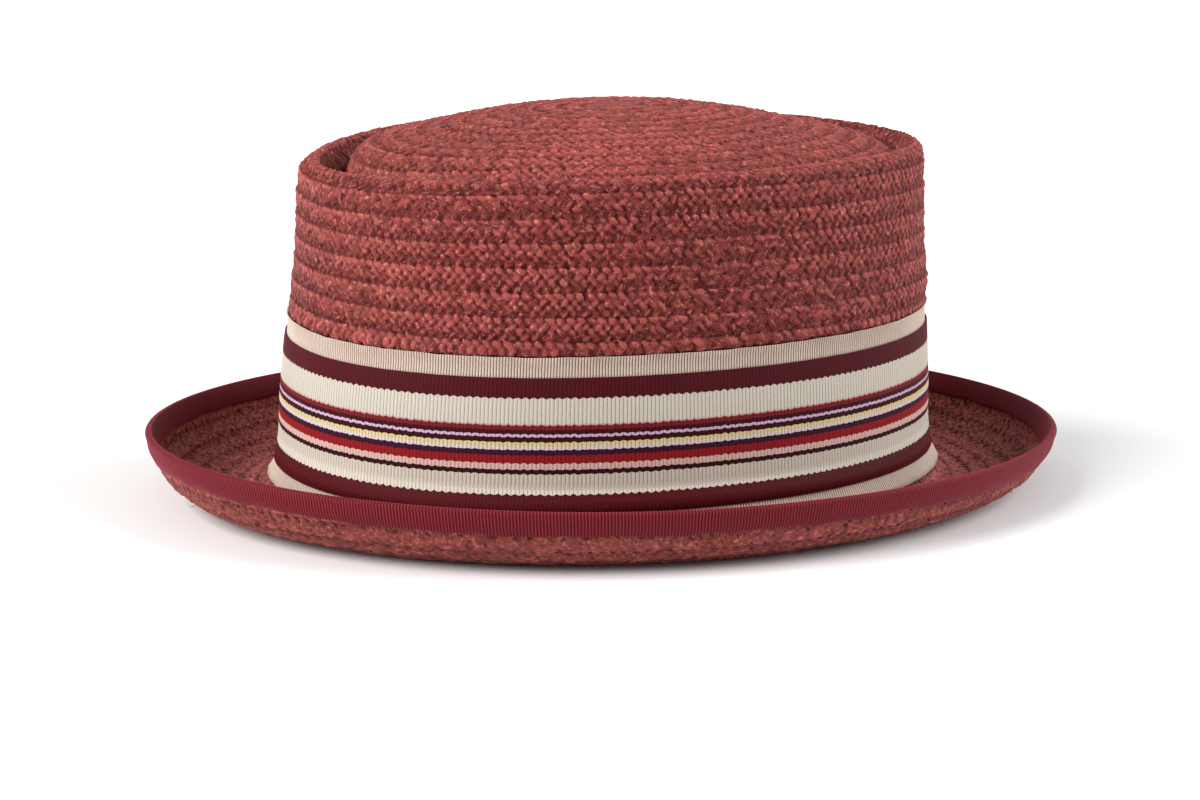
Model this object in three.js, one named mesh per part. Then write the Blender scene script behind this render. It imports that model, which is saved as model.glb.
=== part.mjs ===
// A porkpie hat of sewn straw braid with a curled brim.
// One long braid is sewn round and round into the crown and the brim, so the straw is one piece.
// Two ribbons lie round the crown, a plain one and a striped one on top of it,
// and a folded ribbon binds the brim's edge.
// Millimetres, +Z up. The hat stands on its brim, over the origin, with its length along X.

import * as THREE from 'three';

// Driving sizes of the straw
const crownLength = 204;
const crownWidth = 167;
const crownHeight = 103;
const crownShift = -0.6;
const crownLean = 0.8; // degrees back from upright
const brimLength = 291.5;
const brimWidth = 234.5;
const brimRise = { front: 13.4, back: 17.7, side: 15.5 };
const breakRise = 3.9;
const strawWall = 2;
const ovalPower = { tip: 1.9, wall: 2.1, brim: 1.98 };

// Driving sizes of the ribbons
const ribbonWall = 1;
const clearance = 0.3;
const plainRibbonWidth = 52;
const stripedRibbonWidth = 40.5;
const stripedRibbonLift = 5.8;
const bindingFold = 7.5;

// Fineness of the faces
const columns = 48;
const ribbonRows = 5;
const foldRows = 2;

const colours = {
  straw: 0x96403f,
  plainRibbon: 0xe3d0ba,
  stripedRibbon: 0x7c2530,
  binding: 0x86303a,
};

// Sections of the crown's dented tip, from its middle out to the top of the rim round it.
// front, back and side are shares of half the crown's length or width.
// frontUp, backUp and sideUp are shares of the crown's height over its foot.
// faces is how many rows of faces lead to the next section.
const tipSections = [
  { front: 0.000, back: 0.000, side: 0.000, frontUp: 1.112, backUp: 1.112, sideUp: 1.112, faces: 2 },
  { front: 0.333, back: 0.290, side: 0.290, frontUp: 1.097, backUp: 1.098, sideUp: 1.100, faces: 2 },
  { front: 0.627, back: 0.580, side: 0.545, frontUp: 1.040, backUp: 1.052, sideUp: 1.062, faces: 2 },
  { front: 0.804, back: 0.765, side: 0.740, frontUp: 0.998, backUp: 1.008, sideUp: 1.008, faces: 1 },
  { front: 0.877, back: 0.808, side: 0.805, frontUp: 0.970, backUp: 0.950, sideUp: 0.983, faces: 1 },
  { front: 0.915, back: 0.834, side: 0.842, frontUp: 0.950, backUp: 0.868, sideUp: 0.966, faces: 1 },
  { front: 0.943, back: 0.862, side: 0.872, frontUp: 0.967, backUp: 0.905, sideUp: 0.976, faces: 1 },
  { front: 0.968, back: 0.900, side: 0.902, frontUp: 0.987, backUp: 0.970, sideUp: 1.001, faces: 1 },
];

// Sections of the crown's side wall in the same columns, from the rim down to above the ribbons.
const wallSections = [
  { front: 0.993, back: 0.942, side: 0.930, frontUp: 0.968, backUp: 0.941, sideUp: 0.982, faces: 1 },
  { front: 1.000, back: 0.956, side: 0.949, frontUp: 0.890, backUp: 0.885, sideUp: 0.895, faces: 1 },
  { front: 1.003, back: 0.968, side: 0.970, frontUp: 0.699, backUp: 0.699, sideUp: 0.699, faces: 1 },
];

// Sections of the wall that the ribbons press in a little, down to their foot.
// up is a share of the plain ribbon's width.
const seatSections = [
  { front: 1.009, back: 0.982, side: 0.990, up: 1.050, faces: 1 },
  { front: 0.985, back: 0.967, side: 0.970, up: 1.012, faces: 1 },
  { front: 0.987, back: 0.974, side: 0.974, up: 0.940, faces: 2 },
  { front: 0.996, back: 0.997, side: 0.989, up: 0.535, faces: 2 },
  { front: 1.005, back: 1.015, side: 1.005, up: 0.140, faces: 3 },
  { front: 1.040, back: 1.052, side: 1.043, up: 0.006, faces: 1 },
];

// Sections of the straw brim, from the foot of the crown to the edge.
// out is the share of the way from the foot to the edge, and up the share of the brim's rise.
const brimSections = [
  { out: 0.08, up: 0.13, faces: 1 },
  { out: 0.28, up: 0.00, faces: 1, flat: true },
  { out: 0.42, up: 0.00, faces: 2, flat: true },
  { out: 0.62, up: 0.08, faces: 2 },
  { out: 0.80, up: 0.30, faces: 2 },
  { out: 0.93, up: 0.63, faces: 2 },
  { out: 1.00, up: 1.00, faces: 0 },
];

// A seat section has one height all round, turned here into a share of the crown's height.
function seatSection(section) {
  const up = section.up * plainRibbonWidth / crownHeight;
  return { ...section, frontUp: up, backUp: up, sideUp: up, power: ovalPower.wall };
}

const crownSections = [
  ...tipSections.map((section) => ({ ...section, power: ovalPower.tip })),
  ...wallSections.map((section) => ({ ...section, power: ovalPower.wall })),
  ...seatSections.map(seatSection),
];
const sections = [...crownSections, ...brimSections];
const footSection = crownSections.length - 1;
const lastSection = sections.length - 1;

// Mixes the sizes of an oval's front, back and side by how much an angle faces each.
function mixRound(sizes, angle) {
  const toEnd = Math.cos(angle) ** 2;
  const end = Math.cos(angle) > 0 ? sizes.front : sizes.back;
  return THREE.MathUtils.lerp(sizes.side, end, toEnd);
}

const crossAxis = new THREE.Vector3(0, 1, 0);
const crownFoot = new THREE.Vector3(crownShift, 0, strawWall + breakRise);

// A point of an oval with its own reach to the front, the back and the side.
function ovalPoint(reach, power, angle) {
  const along = Math.cos(angle);
  const across = Math.sin(angle);
  const length = (Math.abs(along) ** power + Math.abs(across) ** power) ** (-1 / power);
  const end = along > 0 ? reach.front : reach.back;
  return new THREE.Vector2(end * along * length, reach.side * across * length);
}

// A point of one of the crown's sections.
function crownPoint(section, angle) {
  const reach = {
    front: section.front * crownLength / 2,
    back: section.back * crownLength / 2,
    side: section.side * crownWidth / 2,
  };
  const up = { front: section.frontUp, back: section.backUp, side: section.sideUp };
  const spot = ovalPoint(reach, section.power, angle);
  const point = new THREE.Vector3(spot.x, spot.y, crownHeight * mixRound(up, angle));
  point.applyAxisAngle(crossAxis, -THREE.MathUtils.degToRad(crownLean));
  return point.add(crownFoot);
}

// A point of one of the brim's sections, on the way from the crown's foot to the brim's edge.
function brimPoint(section, angle) {
  const foot = crownPoint(crownSections[footSection], angle);
  const reach = { front: brimLength / 2, back: brimLength / 2, side: brimWidth / 2 };
  const edge = ovalPoint(reach, ovalPower.brim, angle);
  const spot = new THREE.Vector2(foot.x, foot.y).lerp(edge, section.out);
  const height = strawWall + section.up * mixRound(brimRise, angle);
  return new THREE.Vector3(spot.x, spot.y, height);
}

// The line down the outside of the straw at one angle, from the tip's middle to the brim's edge.
const outlines = new Map();

function outline(angle) {
  const key = angle.toFixed(6);
  if (!outlines.has(key)) {
    const points = crownSections.map((section) => crownPoint(section, angle));
    brimSections.forEach((section) => points.push(brimPoint(section, angle)));
    const curve = new THREE.CatmullRomCurve3(points, false, 'centripetal');
    curve.arcLengthDivisions = lastSection * 20;
    outlines.set(key, curve);
  }
  return outlines.get(key);
}

// A point at a given offset out from the straw's outer side, at a place between two sections.
function skin(angle, place, offset) {
  const turn = 0.01;
  const share = place / lastSection;
  const point = outline(angle).getPoint(share);
  const down = outline(angle).getTangent(share);
  const round = outline(angle + turn).getPoint(share).sub(outline(angle - turn).getPoint(share));
  const normal = new THREE.Vector3().crossVectors(down, round).normalize();
  if (place === 0 || sections[place]?.flat) normal.set(0, 0, 1);
  return point.addScaledVector(normal, offset);
}

// The place between two sections that lies a given length along the straw from the crown's foot.
function placeFromFoot(angle, length) {
  const curve = outline(angle);
  const lengths = curve.getLengths();
  const foot = lengths[footSection * (lengths.length - 1) / lastSection];
  return curve.getUtoTmapping(0, foot + length) * lastSection;
}

// The place that lies a given length in from the brim's edge.
function placeFromEdge(angle, length) {
  const curve = outline(angle);
  return curve.getUtoTmapping(0, curve.getLength() - length) * lastSection;
}

const angles = Array.from({ length: columns }, (_, column) => column * 2 * Math.PI / columns);

// A closed body from a loop of points at each angle, going round the hat.
// Loops whose two ends lie on the axis share those end points.
function bodyFromLoops(loopAt, onAxis) {
  const loops = angles.map(loopAt);
  const size = loops[0].length;
  const corner = (column, row) => loops[column % columns][(row + size) % size];
  const positions = [];
  const triangle = (...points) => {
    if (points.every((point, index) => point.distanceTo(points[(index + 1) % 3]) > 1e-6)) {
      points.forEach((point) => positions.push(point.x, point.y, point.z));
    }
  };
  const rows = onAxis ? size - 1 : size;
  for (let column = 0; column < columns; column += 1) {
    for (let row = 0; row < rows; row += 1) {
      const a = corner(column, row);
      const b = corner(column, row + 1);
      const c = corner(column + 1, row + 1);
      const d = corner(column + 1, row);
      triangle(a, b, c);
      triangle(a, c, d);
    }
  }
  const geometry = new THREE.BufferGeometry();
  geometry.setAttribute('position', new THREE.Float32BufferAttribute(positions, 3));
  geometry.computeVertexNormals();
  return geometry;
}

// The straw: its outer side from the tip to the brim's edge, and back along its inner side.
function strawLoop(angle) {
  const places = [];
  sections.forEach((section, index) => {
    for (let face = 0; face < section.faces; face += 1) places.push(index + face / section.faces);
  });
  places.push(lastSection);
  const outside = places.map((place) => skin(angle, place, 0));
  const inside = places.map((place) => skin(angle, place, -strawWall)).reverse();
  return [...outside, ...inside];
}

// Lengths up from the crown's foot at which the striped ribbon and the plain one have their rows.
const shares = Array.from({ length: ribbonRows + 1 }, (_, row) => row / ribbonRows);
const stripedMarks = shares.map((share) => stripedRibbonLift + stripedRibbonWidth * share);
const plainMarks = [0, stripedRibbonLift / 2, ...stripedMarks, plainRibbonWidth];

// A ribbon laid round the crown, with its rows at given lengths up, over a number of layers.
function ribbonLoop(angle, marks, layersBelow) {
  const near = clearance + layersBelow * (ribbonWall + clearance);
  const places = marks.map((mark) => placeFromFoot(angle, -mark)).reverse();
  const outside = places.map((place) => skin(angle, place, near + ribbonWall));
  const inside = places.map((place) => skin(angle, place, near)).reverse();
  return [...outside, ...inside];
}

// The binding: a ribbon folded over the brim's edge, from its upper side round to its under side.
function bindingLoop(angle) {
  const steps = Array.from({ length: foldRows + 1 }, (_, row) => bindingFold * (1 - row / foldRows));
  const places = steps.map((step) => placeFromEdge(angle, step));
  const line = (offset) => places.map((place) => skin(angle, place, offset));
  const edge = skin(angle, lastSection, -strawWall / 2);
  const outward = outline(angle).getTangent(1);
  const lip = (reach) => edge.clone().addScaledVector(outward, reach);
  const outer = [...line(clearance + ribbonWall), lip(clearance + ribbonWall)];
  outer.push(...line(-strawWall - clearance - ribbonWall).reverse());
  const inner = [...line(-strawWall - clearance), lip(clearance)];
  inner.push(...line(clearance).reverse());
  return [...outer, ...inner];
}

function piece(name, geometry, colour, roughness) {
  const material = new THREE.MeshStandardMaterial({ color: colour, roughness, metalness: 0 });
  const mesh = new THREE.Mesh(geometry, material);
  mesh.name = name;
  return mesh;
}

const plainRibbon = (angle) => ribbonLoop(angle, plainMarks, 0);
const stripedRibbon = (angle) => ribbonLoop(angle, stripedMarks, 1);

const hat = new THREE.Group();
hat.add(piece('straw_body', bodyFromLoops(strawLoop, true), colours.straw, 0.75));
hat.add(piece('plain_ribbon', bodyFromLoops(plainRibbon, false), colours.plainRibbon, 0.85));
hat.add(piece('striped_ribbon', bodyFromLoops(stripedRibbon, false), colours.stripedRibbon, 0.85));
hat.add(piece('brim_binding', bodyFromLoops(bindingLoop, false), colours.binding, 0.85));

export default hat;
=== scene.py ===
# The looks of a porkpie hat: sewn straw braid, two ribbons round the crown and a bound brim.
# Lengths are in metres. The hat stands on its brim over the origin, with its length along X.

import math

import bpy
import numpy as np
from mathutils import Matrix, Vector


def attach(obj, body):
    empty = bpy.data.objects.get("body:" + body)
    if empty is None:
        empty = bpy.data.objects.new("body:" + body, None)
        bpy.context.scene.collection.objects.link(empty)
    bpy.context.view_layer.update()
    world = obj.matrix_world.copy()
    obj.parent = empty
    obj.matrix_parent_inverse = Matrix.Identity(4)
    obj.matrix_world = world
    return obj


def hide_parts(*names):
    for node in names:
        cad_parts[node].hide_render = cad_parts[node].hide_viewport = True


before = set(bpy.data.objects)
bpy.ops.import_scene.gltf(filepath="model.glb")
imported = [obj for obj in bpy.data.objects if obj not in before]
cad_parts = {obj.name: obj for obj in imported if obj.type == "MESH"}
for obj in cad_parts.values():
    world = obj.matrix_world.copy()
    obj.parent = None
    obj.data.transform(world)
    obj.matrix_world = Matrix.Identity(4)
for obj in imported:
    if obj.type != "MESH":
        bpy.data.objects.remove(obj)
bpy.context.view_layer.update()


# Camera
# It looks across the hat at its long side, a little from the left and from above,
# and leans with the crown by under a degree.
MM = 0.001
crown_lean = math.radians(0.8)
camera_turn = math.radians(-22.1)
camera_rise = math.radians(12.65)
camera_distance = 1.0
camera_target = Vector((-3.38, 0, 25.86)) * MM
lens_length, film_width = 94.95, 36
camera_back = Vector((
    math.sin(camera_turn) * math.cos(camera_rise),
    -math.cos(camera_turn) * math.cos(camera_rise),
    math.sin(camera_rise),
))
camera_right = Vector((math.cos(camera_turn), math.sin(camera_turn), 0))
lean = Matrix.Rotation(-crown_lean, 3, "Y")
camera_axes = [lean @ axis for axis in (camera_right, camera_back.cross(camera_right), camera_back)]

lens = bpy.data.cameras.new("camera")
lens.lens = lens_length
lens.sensor_width = film_width
camera = bpy.data.objects.new("camera", lens)
camera.matrix_world = Matrix.Translation(camera_target + camera_axes[2] * camera_distance) @ (
    Matrix(camera_axes).transposed().to_4x4()
)
bpy.context.collection.objects.link(camera)
bpy.context.scene.camera = camera


# Straw body, its form
# One long braid of dyed raffia is sewn round and round from the middle of the tip,
# over a dented and domed crown and out to the curled edge of the brim.
crown_length = 204 * MM
crown_width = 167 * MM
crown_height = 103 * MM
crown_shift = -0.6 * MM
brim_length = 291.5 * MM
brim_width = 234.5 * MM
# How high the brim's edge stands at the front, the back and the side, and the crown's foot
brim_rise = (13.4 * MM, 17.7 * MM, 15.5 * MM)
break_rise = 3.9 * MM
straw_wall = 2 * MM
plain_width = 52 * MM
# The ovals' powers: 2 is an ellipse, more is squarer
tip_power, wall_power, brim_power = 1.9, 2.1, 1.98

# Crown sections from the tip's middle to its foot: shares of half the length (front, back)
# and width (side), then shares of the crown's height at the front, back and side
tip_sections = [
    (0.000, 0.000, 0.000, 1.112, 1.112, 1.112),
    (0.333, 0.290, 0.290, 1.097, 1.098, 1.100),
    (0.627, 0.580, 0.545, 1.040, 1.052, 1.062),
    (0.804, 0.765, 0.740, 0.998, 1.008, 1.008),
    (0.877, 0.808, 0.805, 0.970, 0.950, 0.983),
    (0.915, 0.834, 0.842, 0.950, 0.868, 0.966),
    (0.943, 0.862, 0.872, 0.967, 0.905, 0.976),
    (0.968, 0.900, 0.902, 0.987, 0.970, 1.001),
]
wall_sections = [
    (0.993, 0.942, 0.930, 0.968, 0.941, 0.982),
    (1.000, 0.956, 0.949, 0.890, 0.885, 0.895),
    (1.003, 0.968, 0.970, 0.699, 0.699, 0.699),
]
# Sections under the ribbons: the same three shares, and a share of the plain ribbon's width
seat_sections = [
    (1.009, 0.982, 0.990, 1.050),
    (0.985, 0.967, 0.970, 1.012),
    (0.987, 0.974, 0.974, 0.940),
    (0.996, 0.997, 0.989, 0.535),
    (1.005, 1.015, 1.005, 0.140),
    (1.040, 1.052, 1.043, 0.006),
]
# Brim sections: a share of the way out to the edge, and a share of the brim's rise
brim_sections = [(0.08, 0.13), (0.28, 0), (0.42, 0), (0.62, 0.08), (0.80, 0.30), (0.93, 0.63), (1, 1)]
rim_section = len(tip_sections)
ribbon_top_section = rim_section + len(wall_sections) + 1
foot_section = ribbon_top_section + len(seat_sections) - 2
edge_section = foot_section + len(brim_sections)


def mix_round(angle, front, back, side):
    """Mixes the sizes of an oval's front, back and side by how much an angle faces each."""
    end = np.where(np.cos(angle) > 0, front, back)
    return side + (end - side) * np.cos(angle) ** 2


def oval(angle, front, back, side, power):
    """Points of an oval with its own reach to the front, the back and the side."""
    along, across = np.cos(angle), np.sin(angle)
    reach = (abs(along) ** power + abs(across) ** power) ** (-1 / power)
    return np.where(along > 0, front, back) * along * reach, side * across * reach


def section_points(angle):
    """The straw's section points at each angle, from the tip's middle out to the edge."""
    half = (crown_length / 2, crown_length / 2, crown_width / 2)
    table = [(*section, tip_power) for section in tip_sections]
    table += [(*section, wall_power) for section in wall_sections]
    for *shares, up in seat_sections:
        table.append((*shares, *[up * plain_width / crown_height] * 3, wall_power))
    points = []
    for *shares, power in table:
        reach = [share * size for share, size in zip(shares[:3], half)]
        x, y = oval(angle, *reach, power)
        z = crown_height * mix_round(angle, *shares[3:])
        points.append(np.stack([
            x * math.cos(crown_lean) - z * math.sin(crown_lean) + crown_shift,
            y,
            z * math.cos(crown_lean) + x * math.sin(crown_lean) + straw_wall + break_rise,
        ], -1))
    foot_x, foot_y = points[-1][:, 0], points[-1][:, 1]
    x, y = oval(angle, brim_length / 2, brim_length / 2, brim_width / 2, brim_power)
    for out, up in brim_sections:
        z = straw_wall + up * mix_round(angle, *brim_rise)
        points.append(np.stack([foot_x + (x - foot_x) * out, foot_y + (y - foot_y) * out, z], -1))
    return np.stack(points, 1)


def smooth_lines(points, steps):
    """Centripetal Catmull-Rom lines through points[line, point], with steps between two points."""
    first = 2 * points[:, :1] - points[:, 1:2]
    last = 2 * points[:, -1:] - points[:, -2:-1]
    points = np.concatenate([first, points, last], 1)
    gaps = np.linalg.norm(np.diff(points, axis=1), axis=2)[..., None] ** 0.5
    before, start, end, after = points[:, :-3], points[:, 1:-2], points[:, 2:-1], points[:, 3:]
    gap0, gap1, gap2 = gaps[:, :-2], gaps[:, 1:-1], gaps[:, 2:]
    leave = (start - before) / gap0 - (end - before) / (gap0 + gap1) + (end - start) / gap1
    arrive = (end - start) / gap1 - (after - start) / (gap1 + gap2) + (after - end) / gap2
    leave, arrive = (leave * gap1)[:, :, None], (arrive * gap1)[:, :, None]
    a, b = start[:, :, None], end[:, :, None]
    t = (np.arange(steps) / steps)[None, None, :, None]
    line = a + leave * t + (3 * (b - a) - 2 * leave - arrive) * t**2 + (2 * (a - b) + leave + arrive) * t**3
    return np.concatenate([line.reshape(len(points), -1, 3), points[:, -2:-1]], 1)


line_steps = 16
girth_steps = 20001


def lines_round(columns):
    """Lines down the straw's outer side at even steps round the crown, starting at the far side.
    Gives the points and the length along each line."""
    angle = np.linspace(0, 2 * math.pi, girth_steps)
    x, y = oval(angle, crown_length / 2, crown_length / 2, crown_width / 2, wall_power)
    run = np.concatenate([[0], np.cumsum(np.hypot(np.diff(x), np.diff(y)))])
    start = np.interp(math.pi / 2, angle, run)
    angles = np.interp((start + run[-1] * np.arange(columns) / columns) % run[-1], run, angle)
    points = smooth_lines(section_points(angles), line_steps)
    steps = np.linalg.norm(np.diff(points, axis=1), axis=2)
    return points, np.concatenate([np.zeros((columns, 1)), np.cumsum(steps, 1)], 1)


def rings(points, length, marks):
    """Points at lengths marks[ring, column] along each line, and the normals there."""
    grid = np.empty((len(marks), len(points), 3))
    for column in range(len(points)):
        for axis in range(3):
            grid[:, column, axis] = np.interp(marks[:, column], length[column], points[column, :, axis])
    down = np.gradient(grid, axis=0)
    side = np.roll(grid, -1, 1) - np.roll(grid, 1, 1)
    normal = np.cross(down, side)
    normal /= np.maximum(np.linalg.norm(normal, axis=2, keepdims=True), 1e-12)
    return grid, normal


def at_section(length, section):
    """The length along each line at a section."""
    return length[:, round(section * line_steps)]


# Straw body, its braid
# The braid is about 7 mm wide and sewn so that each row's upper edge lies over the row before.
# Its strands cross in four files of small pads, the broadest at the upper edge.
strand_pitch = 3.1 * MM
row_widths = (4 * MM, 9 * MM)
# Rows of the braid at sections of the straw, counted from the tip's middle
row_marks = {
    0: 0,
    rim_section - 0.9: 14.6,
    rim_section: 15.15,
    ribbon_top_section: 22,
    foot_section: 29.5,
    edge_section: 36.4,
}
strand_files = [
    # share down the row, shift along, lean in degrees, half length, half width, height
    (0.14, 0.0, 44, 1.66 * MM, 1.14 * MM, 0.92 * MM),
    (0.39, 0.5, -46, 1.56 * MM, 1.02 * MM, 0.84 * MM),
    (0.63, 0.0, 46, 1.54 * MM, 0.98 * MM, 0.80 * MM),
    (0.87, 0.5, -46, 1.50 * MM, 0.96 * MM, 0.74 * MM),
]
# How far chance moves a pad along and down the row and turns it
pad_shift, pad_sink, pad_turn = 0.36, 0.07, 30
# A pad's length, width and height: the least share, and what chance and looseness add to it
pad_lengths, pad_widths, pad_heights = (0.86, 0.24, 0.30), (0.84, 0.30, 0), (0.7, 0.45, -0.25)
# A pad's outline and profile are powers of the distance from its middle, and its ends dip
pad_ends, pad_sides, pad_profile, pad_dip = 2.6, 2.3, 0.48, 0.16 * MM
# Patches to a row and round the hat, for how loose the braid is and how its strands bend
loose_patches, along_patches, down_patches = (0.45, 14), (2.6, 150), (2.3, 130)
loose_middle, loose_range, loose_lean = 0.45, 0.8, 0.6
stray_along, stray_down = 0.34 * MM, 0.28 * MM
full_relief, braid_depth = 1.15 * MM, 1.4 * MM
# The row bellies out most under its upper edge
belly_height, belly_least, belly_edge, belly_top, belly_fall = 0.34 * MM, 0.35, 0.09, 0.15, 0.75
# Painted shade in the row seams and a painted highlight on the row crests show most at the crown's two
# ends, and little on the brim
seam_width, seam_depth, seam_least = 0.075, 0.3 * MM, 0.15
crest_place, crest_width, crest_light, crest_shade = 0.24, 0.16, 0.85, 0.12
brim_ends = 0.3
# The start of the braid, at the tip's middle, is sewn flat
knot_start, knot_width, knot_depth = 0.4, 0.7, 0.55 * MM
knot_calm = {"relief": 0.62, "tone": 0.4}
# The draws, and the steps that spread columns, rows and seeds over them
chances, column_step, row_step, seed_step = 16384, 131, 977, 389
chance = np.random.default_rng(7).random((chances, 8))


def wobble(turn, row, patches, seed):
    """Soft chance between -1 and 1 in patches."""
    to_row, round_hat = patches
    x, y = turn * round_hat, row * to_row
    column, line = np.floor(x), np.floor(y)
    x, y = x - column, y - line
    x, y = x * x * (3 - 2 * x), y * y * (3 - 2 * y)

    def corner(right, down):
        spot = (column + right) % round_hat * column_step + (line + down) * row_step + seed * seed_step
        return chance[spot.astype(int) & chances - 1, 0]

    upper = corner(0, 0) * (1 - x) + corner(1, 0) * x
    lower = corner(0, 1) * (1 - x) + corner(1, 1) * x
    return 2 * (upper * (1 - y) + lower * y) - 1


def varied(shares, luck, loose):
    """A share that chance and looseness add to."""
    least, by_luck, by_looseness = shares
    return least + by_luck * luck + by_looseness * loose


def row_numbers(length, marks):
    """The row of the braid, counted from the tip's middle, at each length along each line."""
    numbers = np.empty(marks.shape)
    for column in range(marks.shape[1]):
        spots = [at_section(length, section)[column] for section in row_marks]
        numbers[:, column] = np.interp(marks[:, column], spots, list(row_marks.values()))
    return numbers


def girths():
    """The way round the hat along each row of the braid, and the strands counted up to each row."""
    points, length = lines_round(180)
    spots = np.stack([at_section(length, section) for section in row_marks])
    middles = np.arange(math.ceil(max(row_marks.values())) + 1) + 0.5
    marks = np.stack([np.interp(middles, list(row_marks.values()), column) for column in spots.T], 1)
    grid, _ = rings(points, length, marks)
    girth = np.linalg.norm(np.roll(grid, -1, 1) - grid, axis=2).sum(1)
    counts = np.maximum(np.round(girth / strand_pitch), 4)
    return middles, girth, counts, np.concatenate([[0], np.cumsum(counts)])


row_middles, row_girths, row_counts, rows_before = girths()


def braid(grid, row, turn, seed):
    """The braid's relief at each point, and what its strands' dye and fibres need."""
    row = np.maximum(row - turn, 0)
    ring = np.minimum(row.astype(int), len(row_counts) - 1)
    down = row - ring
    count, before = row_counts[ring], rows_before[ring]
    pitch = np.interp(row, row_middles, row_girths) / count
    drop = np.linalg.norm(np.gradient(grid, axis=0), axis=2) / np.maximum(np.gradient(row, axis=0), 1e-6)
    drop = np.clip(drop, *row_widths)
    loose = np.clip(loose_middle + loose_range * wobble(turn, row, loose_patches, seed), 0, 1)
    bend_along = wobble(turn, row, along_patches, seed + 3) * stray_along
    bend_down = wobble(turn, row, down_patches, seed + 4) * stray_down
    relief = np.zeros(row.shape)
    facts = {name: np.zeros(row.shape) for name in ("tone", "along", "across")}
    for file, (middle, shift, slant, half_length, half_width, height) in enumerate(strand_files):
        spot = turn * count - shift
        for step in (-1, 0, 1):
            index = np.floor(spot) + step
            pad = (before + index).astype(int) * len(strand_files) + file
            luck = chance[pad + seed * row_step & chances - 1]
            aside = spot - index - 0.5 - (luck[..., 0] - 0.5) * pad_shift * (0.5 + loose)
            aside = aside * pitch + bend_along
            below = down - middle - (luck[..., 1] - 0.5) * pad_sink * (0.5 + loose)
            below = below * drop + bend_down
            angle = slant * (1 - loose_lean * loose * luck[..., 6]) + (luck[..., 2] - 0.5) * pad_turn
            angle = np.radians(angle)
            along = aside * np.cos(angle) + below * np.sin(angle)
            across = below * np.cos(angle) - aside * np.sin(angle)
            long = half_length * varied(pad_lengths, luck[..., 3], loose)
            wide = half_width * varied(pad_widths, luck[..., 4], loose)
            inside = 1 - np.abs(along / long) ** pad_ends - np.abs(across / wide) ** pad_sides
            lift = height * varied(pad_heights, luck[..., 5], loose)
            lift = lift * np.maximum(inside, 0) ** pad_profile - along / long * pad_dip * (inside > 0)
            wins = lift > relief
            relief = np.where(wins, lift, relief)
            for name, value in (("tone", luck[..., 7]), ("along", along), ("across", across)):
                facts[name] = np.where(wins, value, facts[name])
    belly = belly_least + (1 - belly_least) * np.clip(down / belly_edge, 0, 1)
    belly = belly_height * belly * (1 - belly_fall * np.clip(down - belly_top, 0, 1))
    ends = np.clip(np.abs(grid[..., 0]) / (crown_length / 2), 0, 1) ** 4
    ends = ends * np.where(row > row_marks[foot_section], brim_ends, 1)
    seam = np.exp(-((np.minimum(down, 1 - down) / seam_width) ** 2))
    seam = seam * (seam_least + (1 - seam_least) * ends)
    crest = np.exp(-(((down - crest_place) / crest_width) ** 2))
    # The seam's dip also takes painted shade in the straw's colour, and the light fact holds a painted
    # highlight on the row crests with painted shade over the rest of the row, both at the crown's ends
    facts["seam"] = seam
    facts["light"] = ends * (crest_light * crest - crest_shade)
    # The relief sets the painted highlight on the pads' tops and the painted shade in the gaps between them
    facts["relief"] = np.clip((relief + belly) / full_relief, 0, 1)
    relief = relief + belly - seam_depth * seam - braid_depth
    knot = 1 - np.clip((row - knot_start) / knot_width, 0, 1)
    for name, calm in knot_calm.items():
        facts[name] = facts[name] * (1 - knot) + calm * knot
    return relief * (1 - knot) - knot_depth * knot, facts


def ring_mesh(name, grids, facts):
    """A mesh from rings of points, each with as many points as the next, or half or twice as many."""
    starts = np.concatenate([[0], np.cumsum([len(ring) for ring in grids])])
    quads, corners = [], []
    for upper, lower, start, below in zip(grids, grids[1:], starts, starts[1:]):
        few = min(len(upper), len(lower))
        now = np.arange(few)
        after = (now + 1) % few
        if len(upper) == len(lower):
            quads.append(np.stack([start + now, below + now, below + after, start + after], -1))
            continue
        twice_now, between, twice_after = 2 * now, 2 * now + 1, (2 * now + 2) % (2 * few)
        if len(upper) < len(lower):
            corners.append(np.stack([start + now, below + between, start + after], -1))
            corners.append(np.stack([start + now, below + twice_now, below + between], -1))
            corners.append(np.stack([start + after, below + between, below + twice_after], -1))
        else:
            corners.append(np.stack([below + now, below + after, start + between], -1))
            corners.append(np.stack([below + now, start + between, start + twice_now], -1))
            corners.append(np.stack([below + after, start + twice_after, start + between], -1))
    mesh = bpy.data.meshes.new(name)
    points = np.concatenate(grids)
    faces = [face for block in quads for face in block.tolist()]
    faces += [face for block in corners for face in block.tolist()]
    mesh.from_pydata(points.tolist(), [], faces)
    mesh.polygons.foreach_set("use_smooth", np.ones(len(faces), bool))
    for fact, values in facts.items():
        layer = mesh.attributes.new(fact, "FLOAT", "POINT")
        layer.data.foreach_set("value", np.concatenate(values).astype(np.float32))
    piece = bpy.data.objects.new(name, mesh)
    bpy.context.collection.objects.link(piece)
    return piece


# The bottom of the groove round the tip, where shade is painted into the straw's colour as less light falls
# there
groove_section = rim_section - 2.2
groove_shade, groove_reach = 1.8, 3.2 * MM
# The binding's stitches press the straw flat from pinch_start in to pinch_end off its edge
pinch_start, pinch_end, pinch_wall, pinch_rise = 8.5 * MM, 4.8 * MM, 1.0 * MM, 0.5 * MM
pinch_flat = 0.75
# The swelling over the ribbons' edge: how far it starts over it and ends under it, and its height
# at the front, the back and the side
swell_reach, swell_end = 3.2 * MM, 1.2 * MM
swell = (2.6 * MM, 2.9 * MM, 2.2 * MM)


def pinch(length, marks):
    """How far the binding's stitches press the straw flat: 0 away from the edge and 1 under it."""
    off = at_section(length, edge_section)[None] - marks
    return np.clip((pinch_start - off) / (pinch_start - pinch_end), 0, 1)


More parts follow.
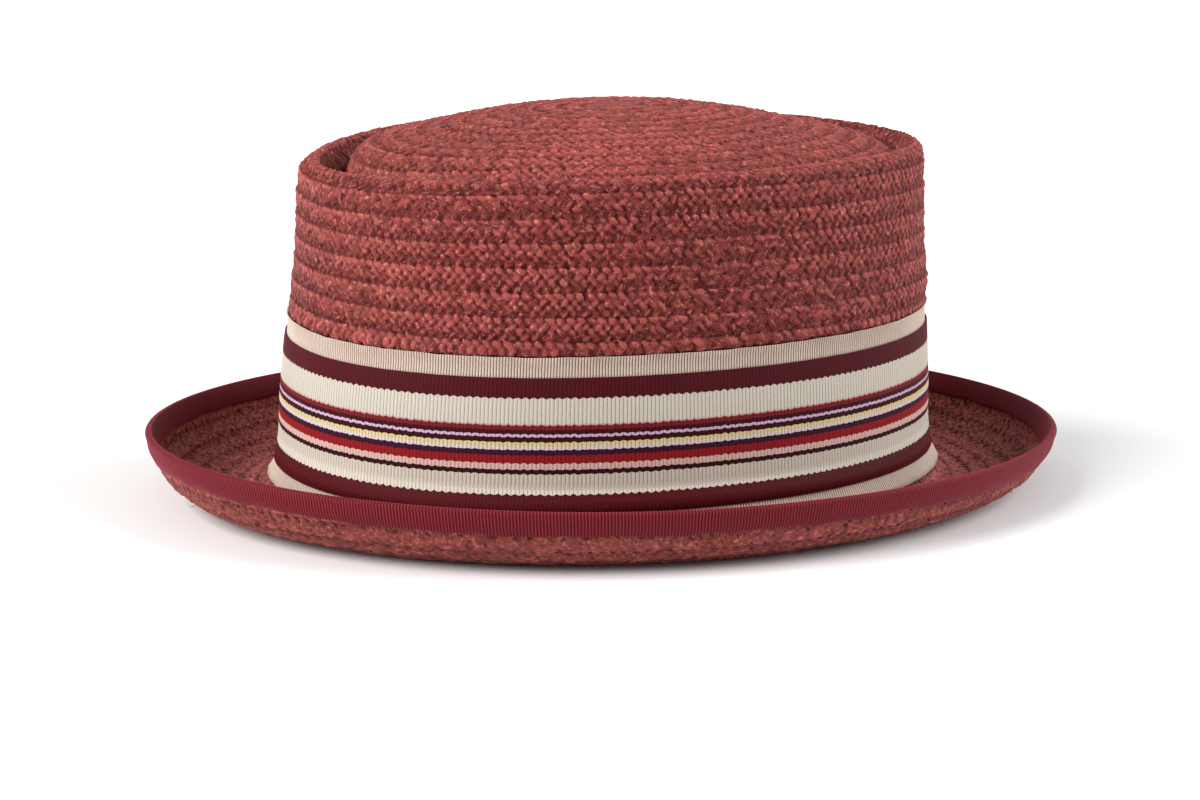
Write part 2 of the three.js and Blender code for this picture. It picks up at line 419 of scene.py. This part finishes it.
def swelling(grid, length, marks):
    """How far the straw swells out just above the ribbons, to lie over the plain one's edge."""
    below = marks - at_section(length, ribbon_top_section)[None]
    share = np.interp(below, [-swell_reach, -0.4 * MM, 0.3 * MM, swell_end], [0, 1, 1, 0])
    angle = np.arctan2(grid[..., 1] / crown_width, grid[..., 0] / crown_length)
    return share**2 * (3 - 2 * share) * mix_round(angle, *swell)


def straw_piece(name, columns, start, end, shares, seed, depth=0, thinning=(), painted_light_level=0):
    """A piece of the braid between two sections. shares are places from 0 at the first to 1 at the
    last, depth is how far it lies under the outer side, thinning lists rows under which columns are
    halved, and the last argument is the light painted into its colour, or shade where it is below 0."""
    points, length = lines_round(columns)
    first, last = at_section(length, start), at_section(length, end)
    marks = first + (last - first) * np.asarray(shares)[:, None]
    grid, normal = rings(points, length, marks)
    if start == 0 and shares[0] == 0:
        normal[0] = (0, 0, 1)
    row = row_numbers(length, marks)
    turn = np.broadcast_to(np.arange(columns) / columns, row.shape)
    relief, facts = braid(grid, row, turn, seed)
    groove = at_section(length, groove_section)[None]
    # Light painted into the piece's colour, less painted shade at the bottom of the groove round the tip
    facts["light"] += painted_light_level - groove_shade * np.exp(-(((marks - groove) / groove_reach) ** 2))
    pressed = pinch(length, marks)
    relief = relief * (1 - pinch_flat * pressed)
    if depth:
        relief = -depth + (depth - pinch_wall) * pressed - relief
    else:
        relief = relief + swelling(grid, length, marks)
    relief = relief + pinch_rise * pressed
    grid = grid + normal * relief[..., None]
    halvings = [sum(number < limit for limit in thinning) for number in row.mean(1)]
    cut = [slice(None, None, 2**halving) for halving in halvings]

    def kept(values):
        thinned = [ring[take] for ring, take in zip(values, cut)]
        return [np.roll(ring[::-1], 1, 0) for ring in thinned] if depth else thinned

    piece = ring_mesh(name, kept(grid), {fact: kept(values) for fact, values in facts.items()})
    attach(piece, "root")
    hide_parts("straw_body")
    return piece


# Neighbouring pieces overlap by these shares of their own length
overlap, brim_overlap = 0.012, 0.06
tip_shares = np.linspace(0, 1 + overlap, 140)
side_shares = np.linspace(-overlap, 1 + overlap, 96)
seat_shares = [0, 0.012, 0.025, *np.linspace(0.06, 1, 12)]
brim_shares = np.linspace(-brim_overlap, 1, 60)
under_shares = np.linspace(-brim_overlap, 1, 54)
inside_shares = np.linspace(0, 1, 84)
tip_thinning, inside_thinning = (8.5, 4.2, 2, 0.9), (7, 3, 1)
outer, inner = {"seed": 1}, {"seed": 3, "depth": straw_wall}
# Each piece's last value is light painted into its colour: lighter on the tip and the brim's two sides,
# darker on the side
straw_pieces = [
    straw_piece("straw_tip", 1040, 0, rim_section, tip_shares, thinning=tip_thinning, painted_light_level=0.2, **outer),
    straw_piece("straw_side", 1040, rim_section, ribbon_top_section, side_shares, painted_light_level=-0.2, **outer),
    straw_piece("straw_seat", 520, ribbon_top_section, foot_section, seat_shares, **outer),
    straw_piece("straw_brim", 1200, foot_section, edge_section, brim_shares, painted_light_level=1.4, **outer),
    straw_piece("straw_underside", 1200, foot_section, edge_section, under_shares, painted_light_level=0.5, **inner),
    straw_piece("straw_inside", 416, 0, foot_section, inside_shares, thinning=inside_thinning, **inner),
]


# Straw fibres
# Fine ends of raffia, a few millimetres long, have worked loose from the braid's strands.
# They stand off the tip, the side and the brim's under side, each held by the strands round its root.
fibre_count, fibre_columns = 130, 360
fibre_sides, fibre_joints = 3, 6
fibre_radius, fibre_taper = 0.11 * MM, 0.75
fibre_depth, fibre_floor = 0.7 * MM, 0.1 * MM
fibre_reach, fibre_rise, fibre_curl = (2.5, 6.5), (0.10, 0.34), (-0.5, 0.5)
# How much less they run down than along, how far round an arch they bend, and how far they stand off
fibre_slope, fibre_arch, fibre_stand = 0.6, 2.2, 0.1
# The share of the fibres up to each zone, the zone's sections, and whether it faces down
fibre_zones = [
    (0.35, 3, rim_section, False),
    (0.7, rim_section, ribbon_top_section, False),
    (1, foot_section + 2, edge_section - 1, True),
]


def fibre_piece(count, seed):
    """Tapered threads of chance length, rise and curl, rooted at chance places on the straw."""
    draw = np.random.default_rng(seed)
    points, length = lines_round(fibre_columns)
    verts, faces = [], []
    for _ in range(count):
        column = draw.integers(fibre_columns)
        zone = draw.random()
        start, end, under = next(rest for limit, *rest in fibre_zones if zone < limit)
        start, end = (at_section(length, section)[column] for section in (start, end))
        mark = np.full((3, fibre_columns), start + (end - start) * draw.random())
        mark += np.array([-1, 0, 1])[:, None] * MM
        grid, normal = rings(points, length, mark)
        root, out = grid[1, column], normal[1, column]
        down = grid[2, column] - grid[0, column]
        down /= np.linalg.norm(down)
        side = np.cross(out, down)
        heading = draw.uniform(0, 2 * math.pi)
        way = side * math.cos(heading) + down * math.sin(heading) * fibre_slope
        if under:
            root, out = root - out * straw_wall, -out
        reach = draw.uniform(*fibre_reach) * MM
        rise, curl = draw.uniform(*fibre_rise), draw.uniform(*fibre_curl)
        bend = np.cross(out, way)
        for joint in range(fibre_joints):
            t = joint / (fibre_joints - 1)
            middle = root - out * fibre_depth + way * reach * t
            middle = middle + out * reach * (rise * math.sin(fibre_arch * t) + fibre_stand)
            middle = middle + bend * reach * curl * t * t
            middle[2] = max(middle[2], fibre_floor)
            thick = fibre_radius * (1 - fibre_taper * t)
            for corner in range(fibre_sides):
                turn = 2 * math.pi * corner / fibre_sides
                verts.append(middle + thick * (math.cos(turn) * out + math.sin(turn) * bend))
        base = len(verts) - fibre_sides * fibre_joints
        for joint in range(fibre_joints - 1):
            low = base + joint * fibre_sides
            high = low + fibre_sides
            for corner in range(fibre_sides):
                after = (corner + 1) % fibre_sides
                faces.append((low + corner, low + after, high + after, high + corner))
        faces.append(tuple(base + corner for corner in range(fibre_sides))[::-1])
        faces.append(tuple(len(verts) - fibre_sides + corner for corner in range(fibre_sides)))
    mesh = bpy.data.meshes.new("straw_fibres")
    mesh.from_pydata([tuple(vert) for vert in verts], [], faces)
    fibre = bpy.data.objects.new("straw_fibres", mesh)
    bpy.context.collection.objects.link(fibre)
    tones = np.repeat(draw.random(count), fibre_sides * fibre_joints)
    # The fibres take the painted highlight of the pads' tops and none of the painted shade of the gaps
    for name, values in (("tone", tones), ("relief", np.ones(len(tones)))):
        layer = mesh.attributes.new(name, "FLOAT", "POINT")
        layer.data.foreach_set("value", values.astype(np.float32))
    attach(fibre, "root")
    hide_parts("straw_body")
    return fibre


straw_pieces.append(fibre_piece(fibre_count, seed=11))


# Straw body, its material
# Raffia takes its dye unevenly, so each strand has its own shade between brick, wine and a greyed pink.
# The strands' fibres show as fine pale and dark lines. Shade is painted into the gaps between strands
# and the seams between rows, highlights onto the pads' tops, and light or shade onto whole pieces.
class Wire:
    """An output socket in a material's nodes, so that sums of sockets are written as Python sums."""

    def __init__(self, tree, socket=None):
        self.tree = tree
        self.socket = socket

    def add(self, kind, settings=None, inputs=None, output=0):
        """Adds a node, with its settings first and then the values or wires of its inputs."""
        node = self.tree.nodes.new(kind)
        for name, value in (settings or {}).items():
            setattr(node, name, value)
        for key, value in (inputs or {}).items():
            if isinstance(value, Wire):
                self.tree.links.new(value.socket, node.inputs[key])
            else:
                node.inputs[key].default_value = value
        return Wire(self.tree, node.outputs[output])

    def sum(self, operation, first, second=0.0):
        return self.add("ShaderNodeMath", {"operation": operation}, {0: first, 1: second})

    def __add__(self, other):
        return self.sum("ADD", self, other)

    __radd__ = __add__

    def __mul__(self, other):
        return self.sum("MULTIPLY", self, other)

    __rmul__ = __mul__

    def __sub__(self, other):
        return self.sum("SUBTRACT", self, other)

    def __rsub__(self, other):
        return self.sum("SUBTRACT", other, self)

    def __truediv__(self, other):
        return self.sum("DIVIDE", self, other)

    def __gt__(self, other):
        return self.sum("GREATER_THAN", self, other)

    def at_least(self, other):
        return self.sum("MAXIMUM", self, other)

    def fraction(self):
        return self.sum("FRACT", self)

    def sine(self):
        return self.sum("SINE", self)

    def size(self):
        """The value without its sign."""
        return self.sum("ABSOLUTE", self)

    def ramp(self, low, high):
        """0 below low and 1 above high, or the other way round, with a soft way between."""
        inputs = {"Value": self, "From Min": low, "From Max": high}
        return self.add("ShaderNodeMapRange", {"interpolation_type": "SMOOTHSTEP"}, inputs)

    def mix(self, first, second, blend="MIX"):
        """A colour between two, with this wire as the share of the second."""
        inputs = {0: self, 6: first, 7: second}
        return self.add("ShaderNodeMix", {"data_type": "RGBA", "blend_type": blend}, inputs, 2)

    def vector(self, x, y, z=0.0):
        return self.add("ShaderNodeCombineXYZ", {}, {0: x, 1: y, 2: z})

    def place(self):
        """Where a point lies on its object, in metres."""
        return self.add("ShaderNodeTexCoord", {}, {}, 3)

    def value_of(self, name):
        """A value that the mesh keeps at its points."""
        return self.add("ShaderNodeAttribute", {"attribute_name": name}, {}, 2)

    def noise(self, place, scale=1.0, detail=2.0):
        return self.add("ShaderNodeTexNoise", {}, {"Vector": place, "Scale": scale, "Detail": detail})

    def bump(self, strength, distance):
        """A normal that stands up by this wire's height."""
        inputs = {"Height": self, "Strength": strength, "Distance": distance}
        return self.add("ShaderNodeBump", {}, inputs)


def light_part(part):
    """A part of a screen colour, from 0 to 255, as a light value."""
    return ((part / 255 + 0.055) / 1.055) ** 2.4 if part > 10 else part / 3295


def colour(red, green, blue):
    """A colour given as it shows on a screen, turned into light values."""
    return light_part(red), light_part(green), light_part(blue), 1


def new_material(name):
    """A material with its shader, and a wire to start its nodes from."""
    material = bpy.data.materials.new(name)
    material.use_nodes = True
    return material, Wire(material.node_tree)


def dress(material, wires, values):
    """Links wires and sets values on the material's shader."""
    shader = material.node_tree.nodes["Principled BSDF"]
    for name, wire in wires.items():
        material.node_tree.links.new(wire.socket, shader.inputs[name])
    for name, value in values.items():
        shader.inputs[name].default_value = value


# Noise scales: fibres along and across a strand, then clouds, specks and glints over the straw
fibre_stretch, fibre_fineness, fibre_offset = 260, 2600, 90
cloud_scale, speck_scale, glint_scale = 38.0, 420.0, 950.0
straw, wire = new_material("dyed_straw")
tone = wire.value_of("tone")
relief = wire.value_of("relief")
light = wire.value_of("light")
painted_light_share = light.at_least(0.0)
painted_shade_share = (0 - light).at_least(0.0)
along, across = wire.value_of("along"), wire.value_of("across")
fibres = wire.noise(
    wire.vector(along * fibre_stretch, across * fibre_fineness, tone * fibre_offset), detail=3.0
)
cloud = wire.noise(wire.place(), cloud_scale, 3.0)
speck = wire.noise(wire.place(), speck_scale)
glint = wire.noise(wire.place(), glint_scale, 1.0)

# The strands' own shades: most between wine and brick, a few rusty and more of them greyed
dye_and_painted_light = tone.ramp(0.0, 1.0).mix(colour(60, 12, 12), colour(108, 35, 33))
dye_and_painted_light = (tone * 7.31).fraction().ramp(0.86, 0.96).mix(dye_and_painted_light, colour(120, 36, 26))
dye_and_painted_light = (tone * 13.7).fraction().ramp(0.80, 0.95).mix(dye_and_painted_light, colour(126, 64, 59))
dye_and_painted_light = (cloud.ramp(0.35, 0.7) * 0.35).mix(dye_and_painted_light, colour(84, 21, 20))

# Painted light and shade: whole pieces lighter or darker, shade in the groove round the tip, and light on
# the row crests at the crown's ends
dye_and_painted_light = (painted_light_share * 0.5).mix(dye_and_painted_light, colour(158, 86, 81))
dye_and_painted_light = (painted_shade_share * 0.7).mix(dye_and_painted_light, colour(46, 7, 8))

# Pale fibres and a painted highlight on the pads' tops, both fainter where shade is painted, then dark
# fibres, and painted shade in the gaps between pads and in the seams between rows
dye_and_painted_light = ((fibres - 0.42).at_least(0.0) * (1.6 - 0.5 * painted_shade_share)).mix(dye_and_painted_light, colour(178, 96, 88))
dye_and_painted_light = (relief.ramp(0.62, 0.95) * (0.58 - 0.22 * painted_shade_share)).mix(dye_and_painted_light, colour(172, 84, 78))
dye_and_painted_light = (fibres.ramp(0.5, 0.3) * 0.4).mix(dye_and_painted_light, colour(52, 10, 11))
dye_and_painted_light = (relief.ramp(0.56, 0.12) * 0.9).mix(dye_and_painted_light, colour(64, 9, 10))
dye_and_painted_light = (wire.value_of("seam") * 0.75).mix(dye_and_painted_light, colour(56, 8, 9))

# Painted glints: pale specks on the pads' tops, and dark specks where light is painted onto the braid
dye_and_painted_light = (glint.ramp(0.50, 0.34) * painted_light_share * 0.5).mix(dye_and_painted_light, colour(40, 9, 10))
dye_and_painted_light = (glint.ramp(0.60 - 0.04 * painted_light_share, 0.72) * relief * 0.6).mix(dye_and_painted_light, colour(206, 128, 118))
dress(
    straw,
    {
        "Base Color": dye_and_painted_light,
        "Roughness": fibres * 0.3 + 0.36,
        "Normal": (fibres * 0.6 + speck * 0.25).bump(0.6, 0.28 * MM),
    },
    {
        "Specular IOR Level": 0.09,
        "Sheen Weight": 0.04,
        "Sheen Roughness": 0.3,
        "Sheen Tint": colour(250, 150, 138),
    },
)
for piece in straw_pieces:
    piece.data.materials.append(straw)


# Plain ribbon
# A beige grosgrain 52 mm wide lies round the crown against the straw, and shows above and below
# the striped one. Its ends meet under a lap at the far side, and stitches hold it to the straw.
rib_columns = 3
# Under the ribbons the crown is a little slimmer than at its widest
ribbon_girth = 0.99
# The ribbons thin out toward their edges and sink, and the plain one's top edge leans
edge_sink, ribbon_rounding, ribbon_lean = 0.15 * MM, 1.2 * MM, 3 * MM
# The lap's end and the width of its step, as shares of the way round from the far side
lap_end, lap_step = 0.022, 0.0008
# Waves of the ribbons' edges: how many round the hat, and where they start
ribbon_waves = ((9, 1.0), (23, 2.2), (41, 0.3), (67, 5.1))


def even(low, high, count):
    """A number of even steps between two heights."""
    return list(np.linspace(low, high, count))


def waves_round(turn, waves):
    """A sum of waves at each share of the way round the hat."""
    return sum(np.sin(2 * math.pi * turn * number + phase) for number, phase in waves)


def oval_girth(length, width):
    """The way round an oval, near enough."""
    return 2 * math.pi * math.sqrt((length**2 + width**2) / 8)


def lay_ribs(piece, columns, heights):
    """Maps each corner to the rib that it lies on and to its height across the ribbon."""
    corner = np.empty(len(piece.data.loops), int)
    piece.data.loops.foreach_get("vertex_index", corner)
    spot = (corner % columns).reshape(-1, 4).astype(float)
    wraps = spot.max(1) - spot.min(1) > columns / 2
    spot[wraps] = np.where(spot[wraps] < columns / 2, spot[wraps] + columns, spot[wraps])
    places = np.stack([spot / rib_columns, heights[corner].reshape(-1, 4)], -1)
    layer = piece.data.uv_layers.new(name="ribs")
    layer.data.foreach_set("uv", places.reshape(-1).astype(np.float32))


def ribbon_piece(name, levels, outer, thick, rib_pitch, rib_depth, inner_rows, pucker, tuck=0.0):
    """A ribbon round the crown. levels are heights up the crown's wall from its foot, outer is how
    far its face stands off the straw's line, pucker the size of its edges' waves, and tuck how far
    its top edge leans in."""
    columns = round(oval_girth(crown_length, crown_width) * ribbon_girth / rib_pitch) * rib_columns
    points, length = lines_round(columns)
    turn = np.arange(columns) / columns
    foot = at_section(length, foot_section)
    waves = waves_round(turn, ribbon_waves)
    levels = np.asarray(levels)[::-1]
    height = levels[:, None] + pucker * 0.25 * waves * (levels[:, None] > levels.mean())
    grid, normal = rings(points, length, foot - height)
    rib = np.abs(np.sin(math.pi * np.arange(columns) / rib_columns))
    edge = np.minimum(levels - levels.min(), levels.max() - levels)
    thin = 1 - np.clip(edge / ribbon_rounding, 0, 1)[:, None] ** 0.5
    lean_in = np.clip(1 - (levels.max() - levels) / ribbon_lean, 0, 1)[:, None] ** 1.5 * tuck
    lap = np.clip((lap_end - turn) / lap_step, 0, 1) * thick
    out = outer - lean_in + rib_depth * (rib - 1) + lap + (pucker * 0.5 * waves - edge_sink) * thin
    outside = grid + normal * out[..., None]
    inside = grid + normal * (outer - lean_in - thick)[..., None]
    step = max(1, len(levels) // inner_rows)
    rows = [*outside, *inside[::-1][::step], inside[0], outside[0]]
    heights = np.concatenate([height, height[::-1][::step], height[:1], height[:1]])
    piece = ring_mesh(name, rows, {})
    lay_ribs(piece, columns, heights.reshape(-1))
    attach(piece, "root")
    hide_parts(name)
    return piece


def woven(wire, twist, fineness, shift=0.0):
    """A grosgrain's wires: the place along and up it, the rib's height and the threads' chance."""
    ribs = wire.add("ShaderNodeUVMap", {"uv_map": "ribs"})
    along = wire.add("ShaderNodeSeparateXYZ", {}, {0: ribs})
    up = wire.add("ShaderNodeSeparateXYZ", {}, {0: ribs}, 1)
    rib = (along * math.pi + shift).sine().size()
    return along, up, rib, wire.noise(wire.vector(along * twist, up * fineness))


plain_ribbon = ribbon_piece(
    "plain_ribbon",
    [*even(0, 6.4 * MM, 6), *even(12 * MM, 40 * MM, 4), *even(45 * MM, plain_width, 7)],
    outer=1.4 * MM,
    thick=0.6 * MM,
    rib_pitch=0.87 * MM,
    rib_depth=0.22 * MM,
    inner_rows=3,
    pucker=0.2 * MM,
    tuck=-1.0 * MM,
)
plain, wire = new_material("plain_grosgrain")
along, up, rib, thread = woven(wire, 1.0, 9000)
shade = wire.noise(wire.vector(along * 0.05, up * 60))
cloth = thread.ramp(0.3, 0.7).mix(colour(175, 157, 143), colour(206, 191, 177))
cloth = (shade.ramp(0.35, 0.65) * 0.3).mix(cloth, colour(178, 150, 134))
# Painted shade between the ribs
cloth = (rib.ramp(0.85, 0.1) * 0.95).mix(cloth, colour(84, 58, 49))
dress(
    plain,
    {
        "Base Color": cloth,
        "Roughness": thread * 0.2 + 0.62,
        "Normal": (rib * 0.6 + thread * 0.3).bump(0.5, 0.15 * MM),
    },
    {"Specular IOR Level": 0.15, "Sheen Weight": 0.1},
)
plain_ribbon.data.materials.append(plain)


# Striped ribbon
# A wine grosgrain about 40 mm wide, woven with cream, red and yellow stripes, is stitched over the
# plain one. Where two colours of its weft meet, the ribs carry them past each other as small teeth.
striped_width = 40.5 * MM
striped_lift = 5.8 * MM
striped_ribbon = ribbon_piece(
    "striped_ribbon",
    even(striped_lift, striped_lift + striped_width, 19),
    outer=2.1 * MM,
    thick=0.45 * MM,
    rib_pitch=1.16 * MM,
    rib_depth=0.10 * MM,
    inner_rows=3,
    pucker=0.05 * MM,
)
wine = (72, 14, 22)
stripes = [
    # depth under the ribbon's top edge and length of the teeth, both in mm, and colour of what follows
    (5.9, 0.55, (192, 186, 173)),
    (13.4, 0.35, (188, 142, 140)),
    (13.8, 0.35, (112, 26, 34)),
    (15.1, 0.20, (58, 12, 20)),
    (16.4, 0.30, (194, 166, 192)),
    (17.2, 0.30, (52, 12, 14)),
    (18.7, 0.30, (204, 188, 136)),
    (19.9, 0.25, (206, 192, 196)),
    (20.9, 0.25, (56, 16, 40)),
    (22.5, 0.25, (136, 26, 30)),
    (24.9, 0.40, (206, 172, 164)),
    (26.7, 0.30, (48, 16, 16)),
    (28.1, 0.35, (199, 191, 177)),
    (34.4, 0.60, (76, 12, 20)),
]
striped, wire = new_material("striped_grosgrain")
along, up, rib, thread = woven(wire, 1.3, 7000)
tooth = ((along * 0.5).fraction() * 2 - 1).size() * 2 - 1
ragged = wire.noise(wire.vector(along * 0.8, 3.7), detail=1.0) - 0.5
depth = (striped_lift + striped_width - up) / MM
cloth = wire.vector(*colour(*wine)[:3])
for border, teeth, shade in stripes:
    reach = depth + tooth * teeth * 0.5 + ragged * 0.5
    cloth = (reach > border).mix(cloth, colour(*shade))
cloth = (thread.ramp(0.65, 0.3) * 0.22).mix(cloth, colour(70, 40, 40), "MULTIPLY")
# Painted shade between the ribs
cloth = (rib.ramp(0.6, 0.0) * 0.6).mix(cloth, colour(110, 78, 78), "MULTIPLY")
dress(
    striped,
    {
        "Base Color": cloth,
        "Roughness": thread * 0.2 + 0.55,
        "Normal": (rib * 0.5 + thread * 0.3).bump(0.5, 0.12 * MM),
    },
    {
        "Specular IOR Level": 0.08,
        "Sheen Weight": 0.22,
        "Sheen Roughness": 0.3,
        "Sheen Tint": colour(255, 120, 140),
    },
)
striped_ribbon.data.materials.append(striped)


# Brim binding
# A wine grosgrain is folded over the brim's edge and sewn through from above to below.
# Its ribs run across the edge, and its ends meet under a lap at the far side.
binding_fold = 5.3 * MM
binding_pitch = 0.95 * MM
binding_gap, binding_wall = 0.1 * MM, 0.6 * MM
binding_ribs, binding_shift = 0.10 * MM, 0.4
binding_wave, binding_waves = 0.12 * MM, ((17, 1.4), (37, 0.2), (61, 2.9))
binding_lap_end, binding_lap = 0.018, 0.4 * MM
# Shares of the fold in from the brim's edge, and how far the binding's upper and under sides stand
# off the straw there, in shares of its wall and gap
binding_inward = (1.0, 0.95, 0.75, 0.5, 0.25, 0.08)
binding_over = (0.5, 1.15, 1.5, 1.65, 1.5, 1.2)
binding_under = (0.5, 1.15, 1.5, 1.7, 1.55, 1.2)
# The round of the fold: degrees over and under the brim's plane, and its reach past the edge
fold_turns = (62, 30, 0, -30, -62)
fold_reach, fold_flat, fold_ribs = 1.3 * MM, 0.75, 0.08 * MM
binding_row = 0.9 * MM


def binding_piece():
    """The binding's rings, from its inner edge out over its upper side and back along its under side."""
    columns = round(oval_girth(brim_length, brim_width) / binding_pitch) * rib_columns
    points, length = lines_round(columns)
    turn = np.arange(columns) / columns
    edge = at_section(length, edge_section)
    inward = binding_fold * np.array(binding_inward)[:, None]
    waves = waves_round(turn, binding_waves) * (inward > 0.5 * binding_fold)
    marks = edge - inward - binding_wave * waves
    grid, normal = rings(points, length, np.concatenate([marks, edge[None]]))
    outward = grid[-1] - grid[-2]
    outward /= np.linalg.norm(outward, axis=1, keepdims=True)
    rib = np.abs(np.sin(math.pi * np.arange(columns) / rib_columns + binding_shift))[:, None] - 1
    lap = np.clip((binding_lap_end - turn) / lap_step, 0, 1)[:, None] * binding_lap
    full = binding_gap + binding_wall
    rows = [grid[0] + normal[0] * binding_gap]
    for number, share in enumerate(binding_over):
        over = pinch_rise + full * share + rib * binding_ribs + lap
        rows.append(grid[number] + normal[number] * over)
    middle = grid[-1] + normal[-1] * (pinch_rise - pinch_wall / 2) + outward * fold_reach
    radius = pinch_wall / 2 + full
    for turn_down in np.radians(fold_turns):
        reach = radius * (fold_flat * math.cos(turn_down) * outward + math.sin(turn_down) * normal[-1])
        rows.append(middle + reach + outward * (lap + rib * fold_ribs))
    wall = straw_wall + (pinch_wall - pinch_rise - straw_wall) * pinch(length, marks)[..., None]
    for number, share in reversed(list(enumerate(binding_under))):
        under = wall[number] + full * share + rib * binding_ribs + lap
        rows.append(grid[number] - normal[number] * under)
    rows.append(grid[0] - normal[0] * (wall[0] + binding_gap))
    piece = ring_mesh("brim_binding", rows, {})
    lay_ribs(piece, columns, np.repeat(np.arange(len(rows)), columns) * binding_row)
    return piece


brim_binding = binding_piece()
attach(brim_binding, "root")
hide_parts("brim_binding")
bound, wire = new_material("wine_grosgrain")
along, up, rib, thread = woven(wire, 1.2, 8000, binding_shift)
cloud = wire.noise(wire.place(), 45.0)
cloth = thread.ramp(0.3, 0.7).mix(colour(76, 11, 17), colour(104, 21, 29))
cloth = (cloud.ramp(0.4, 0.7) * 0.3).mix(cloth, colour(84, 14, 21))
# Painted shade between the ribs and a painted highlight on their crests
cloth = (rib.ramp(0.75, 0.1) * 0.8).mix(cloth, colour(40, 5, 9))
cloth = (rib.ramp(0.8, 1.0) * 0.4).mix(cloth, colour(158, 52, 66))
dress(
    bound,
    {
        "Base Color": cloth,
        "Roughness": thread * 0.2 + 0.5,
        "Normal": (rib * 0.6 + thread * 0.3).bump(0.5, 0.15 * MM),
    },
    {
        "Specular IOR Level": 0.09,
        "Sheen Weight": 0.38,
        "Sheen Roughness": 0.35,
        "Sheen Tint": colour(250, 125, 145),
    },
)
brim_binding.data.materials.append(bound)


# Floor
# A plain pale surface, near white, on which the hat stands.
# It lies just under the lowest strands of the brim.
floor_width, floor_shift, floor_drop = 12, 2, 0.2 * MM
bpy.ops.mesh.primitive_plane_add(size=floor_width, location=(0, floor_shift, -floor_drop))
floor = bpy.context.object
floor.name = "floor"
paper, wire = new_material("pale_floor")
grain = wire.noise(wire.place(), 60.0)
shade = (grain * 0.3).mix(colour(230, 230, 230), colour(226, 226, 226))
dress(paper, {"Base Color": shade}, {"Roughness": 0.9})
floor.data.materials.append(paper)


# Lights
# A large soft light stands at each side of the hat, the stronger at the left, in a white room.
# A light's turn is counted from the side that faces the camera, with the right end at 90 degrees.
room_strength = 0.5


def soft_sun(name, turn, rise, strength, width, tint):
    """A far light, width degrees across, at a turn round the hat and a rise over the floor."""
    lamp = bpy.data.lights.new(name, "SUN")
    lamp.energy = strength
    lamp.angle = math.radians(width)
    lamp.color = tint
    light = bpy.data.objects.new(name, lamp)
    turn, rise = math.radians(turn), math.radians(rise)
    towards = Vector((math.sin(turn) * math.cos(rise), -math.cos(turn) * math.cos(rise), math.sin(rise)))
    light.rotation_euler = towards.to_track_quat("Z", "Y").to_euler()
    bpy.context.collection.objects.link(light)


soft_sun("left_light", -88, 34, strength=4.6, width=46, tint=(1.0, 0.985, 0.97))
soft_sun("right_light", 71, 32, strength=2.75, width=46, tint=(0.985, 0.99, 1.0))
world = bpy.data.worlds.new("room")
world.use_nodes = True
room = world.node_tree.nodes["Background"]
room.inputs["Color"].default_value = (1, 1, 1, 1)
room.inputs["Strength"].default_value = room_strength
bpy.context.scene.world = world
bpy.context.scene.view_settings.view_transform = "Standard"
